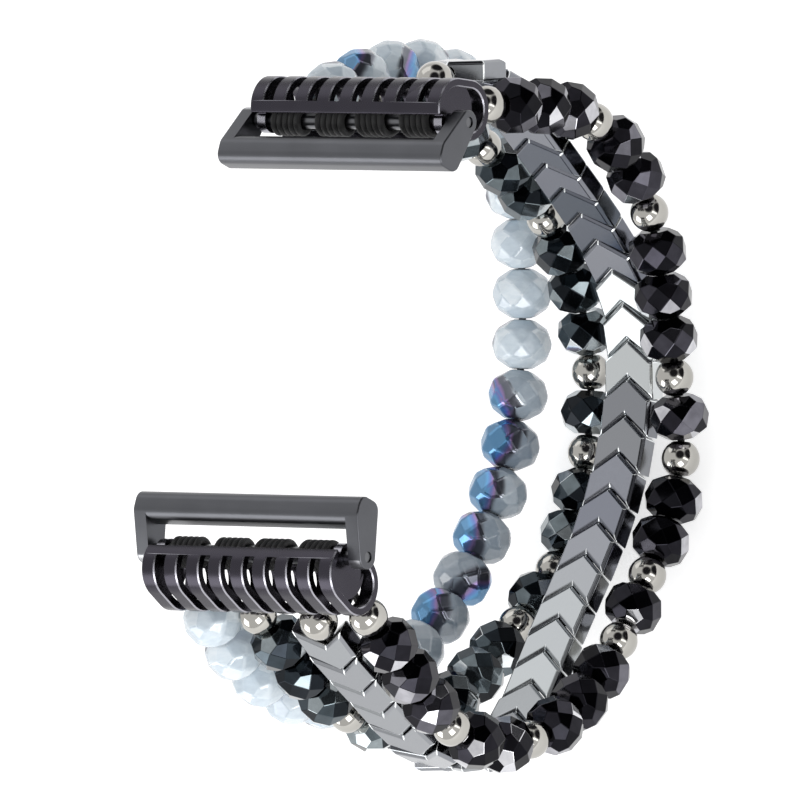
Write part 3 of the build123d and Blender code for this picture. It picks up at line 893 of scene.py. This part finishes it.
def winding_route(half, start, first_bead):
    """Turns of a cord round its spring bar, towards the middle of the band."""
    middle_y, middle_z = bar_axis[half]
    spoke = Vector((0, start[1] - middle_y, start[2] - middle_z))
    travel = Vector((0, start[1] - first_bead[1], start[2] - first_bead[2])).normalized()
    sense = math.copysign(1, spoke.cross(travel).x)
    inwards = -math.copysign(1, start[0])
    steps = round(winding_turns * steps_a_turn)
    step_angle = math.radians(360 / steps_a_turn)
    route = [Vector(start) - travel * cord_thickness, Vector(start)]
    for step in range(1, steps):
        turned = Matrix.Rotation(sense * step_angle * step, 3, "X") @ spoke
        turned *= corner_reach
        shift = inwards * winding_pitch * step / steps_a_turn
        route.append(Vector((start[0] + shift, middle_y + turned.y, middle_z + turned.z)))
    turned = Matrix.Rotation(sense * step_angle * steps, 3, "X") @ spoke
    onward = Matrix.Rotation(sense * step_angle * steps, 3, "X") @ travel
    shift = inwards * winding_pitch * steps / steps_a_turn
    last = Vector((start[0] + shift, middle_y + turned.y, middle_z + turned.z))
    return route + [last, last + onward * cord_thickness]


def clear_of_lips(route):
    """A strand's route with its first and last legs bowed clear of the shells' lips."""
    bows = []
    for end, bead in ((route[0], route[1]), (route[-1], route[-2])):
        outwards = (Vector(bead) - Vector(end)).normalized().cross(Vector((1, 0, 0)))
        outwards *= math.copysign(1, outwards.y * end[1])
        bows.append((Vector(end) + Vector(bead)) / 2 + outwards * lip_bow)
    return [route[0], bows[0], *route[1:-1], bows[1], route[-1]]


for strand, route in cord_routes.items():
    cord = cord_piece(strand + "_elastic", [clear_of_lips(route)])
    length = sum((Vector(b) - Vector(a)).length for a, b in zip(route, route[1:]))
    lay_wrap(cord, length)
    cord.data.materials.append(elastic_finish)
    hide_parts(strand + "_cord")
    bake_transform(cord)
for half in ("lower", "upper"):
    turns = []
    for route in cord_routes.values():
        ends = route if half == "lower" else route[::-1]
        turns.append(winding_route(half, ends[0], ends[1]))
    wound = cord_piece(half + "_wound_elastic", turns)
    lay_wrap(wound, winding_turns * 2 * math.pi * winding_radius)
    settle(wound, half + "_cord_windings", elastic_finish)


# Studio: a white floor under the band, soft panels round it and a white surround
band_middle = Vector((0, 0, -27)) * MM
floor_size = 4
floor_gap = 0.5
floor_finish = new_finish("white_paper_floor")
seen = add(floor_finish, "ShaderNodeLightPath")
paper = add(floor_finish, "ShaderNodeBsdfDiffuse", sockets={"Color": tint("#f6f6f6")})
glow = add(floor_finish, "ShaderNodeEmission", sockets={"Color": tint("#ffffff"), "Strength": 0.5})
lit = add(
    floor_finish,
    "ShaderNodeAddShader",
    sockets={0: paper.outputs["BSDF"], 1: glow.outputs["Emission"]},
)
shown = add(
    floor_finish,
    "ShaderNodeMixShader",
    sockets={0: seen.outputs["Is Diffuse Ray"], 1: lit.outputs["Shader"], 2: paper.outputs["BSDF"]},
)
add(floor_finish, "ShaderNodeOutputMaterial", sockets={"Surface": shown.outputs["Shader"]})
floor_height = cad_box[0].z - floor_gap * MM
bpy.ops.mesh.primitive_plane_add(size=floor_size, location=(0, 0, floor_height))
floor = bpy.context.view_layer.objects.active
floor.name = "paper_floor"
floor.data.materials.append(floor_finish)

world = bpy.data.worlds.new("white_surround")
scene.world = world
world.use_nodes = True
world.node_tree.nodes.clear()
ray = add(world, "ShaderNodeLightPath")
seen_or_glossy = add(
    world,
    "ShaderNodeMath",
    {"operation": "MAXIMUM"},
    {0: ray.outputs["Is Camera Ray"], 1: ray.outputs["Is Glossy Ray"]},
)
any_view = add(
    world,
    "ShaderNodeMath",
    {"operation": "MAXIMUM"},
    {0: seen_or_glossy.outputs["Value"], 1: ray.outputs["Is Transmission Ray"]},
)
level = add(
    world,
    "ShaderNodeMapRange",
    sockets={"Value": any_view.outputs["Value"], "To Min": 0.6, "To Max": 1.0},
)
white = add(world, "ShaderNodeBackground", sockets={"Strength": level.outputs["Result"]})
white.inputs["Color"].default_value = tint("#ffffff")
add(world, "ShaderNodeOutputWorld", sockets={"Surface": white.outputs["Background"]})


def panel(name, towards, distance, size, watts):
    """A soft lamp that faces the band from one side."""
    lamp = bpy.data.lights.new(name, "AREA")
    lamp.shape = "RECTANGLE"
    lamp.size, lamp.size_y = size
    lamp.energy = watts
    holder = bpy.data.objects.new(name, lamp)
    scene.collection.objects.link(holder)
    holder.location = band_middle + Vector(towards).normalized() * distance
    to_band = band_middle - holder.location
    holder.rotation_euler = to_band.to_track_quat("-Z", "Y").to_euler()


panel("key_panel", (-0.61, -0.71, 0.34), distance=0.5, size=(0.26, 0.26), watts=0.7)
panel("front_panel", (0.56, -0.7, 0.44), distance=0.5, size=(0.24, 0.24), watts=1.1)
panel("back_panel", (-0.5, 0.62, 0.6), distance=0.55, size=(0.4, 0.3), watts=0.25)
panel("side_panel", (1.0, -0.1, 0.35), distance=0.6, size=(0.12, 0.35), watts=0.3)


def dark_card(name, towards, distance):
    """A dark studio card that only reflections show, for depth in polished metal and glass."""
    place = band_middle + Vector(towards).normalized() * distance
    facing = (band_middle - place).to_track_quat("Z", "Y").to_euler()
    bpy.ops.mesh.primitive_plane_add(size=card_breadth, location=place, rotation=facing)
    card = bpy.context.view_layer.objects.active
    card.name = name
    card.data.materials.append(card_finish)
    card.visible_camera = card.visible_diffuse = card.visible_shadow = False


# Black velvet, with an edge that fades out so that no reflection shows its outline
card_breadth = 0.7
card_finish = new_finish("black_velvet_card")
from_middle = add(card_finish, "ShaderNodeTexCoord")
spread = add(
    card_finish,
    "ShaderNodeMapping",
    sockets={"Vector": from_middle.outputs["Object"], "Scale": (2 / card_breadth,) * 3},
)
fade = add(
    card_finish,
    "ShaderNodeTexGradient",
    {"gradient_type": "SPHERICAL"},
    {"Vector": spread.outputs["Vector"]},
)
soft_edge = add(
    card_finish,
    "ShaderNodeMapRange",
    {"interpolation_type": "SMOOTHSTEP"},
    {"Value": fade.outputs["Fac"], "From Max": 0.45},
)
velvet = add(card_finish, "ShaderNodeEmission", sockets={"Color": tint("#2a2a2d")})
beyond = add(card_finish, "ShaderNodeBsdfTransparent")
faded = add(
    card_finish,
    "ShaderNodeMixShader",
    sockets={
        0: soft_edge.outputs["Result"],
        1: beyond.outputs["BSDF"],
        2: velvet.outputs["Emission"],
    },
)
add(card_finish, "ShaderNodeOutputMaterial", sockets={"Surface": faded.outputs["Shader"]})
dark_card("card_above", (0.15, 1.0, 0.3), distance=0.6)
dark_card("card_right", (1.0, 0.5, 0.05), distance=0.5)
dark_card("card_behind_camera", (0.5, 0.2, 0.85), distance=0.55)

# Camera
eye = bpy.data.cameras.new("photograph_camera")
eye.sensor_width = 36
eye.sensor_fit = "HORIZONTAL"
eye.lens = view_lens
eye.clip_end = 20
camera = bpy.data.objects.new("photograph_camera", eye)
scene.collection.objects.link(camera)
axes = Matrix((view_right, view_up, view_back)).transposed()
camera.matrix_world = axes.to_4x4()
camera.location = (view_aim + view_back * view_distance) * MM
scene.camera = camera
scene.view_settings.view_transform = "Standard"
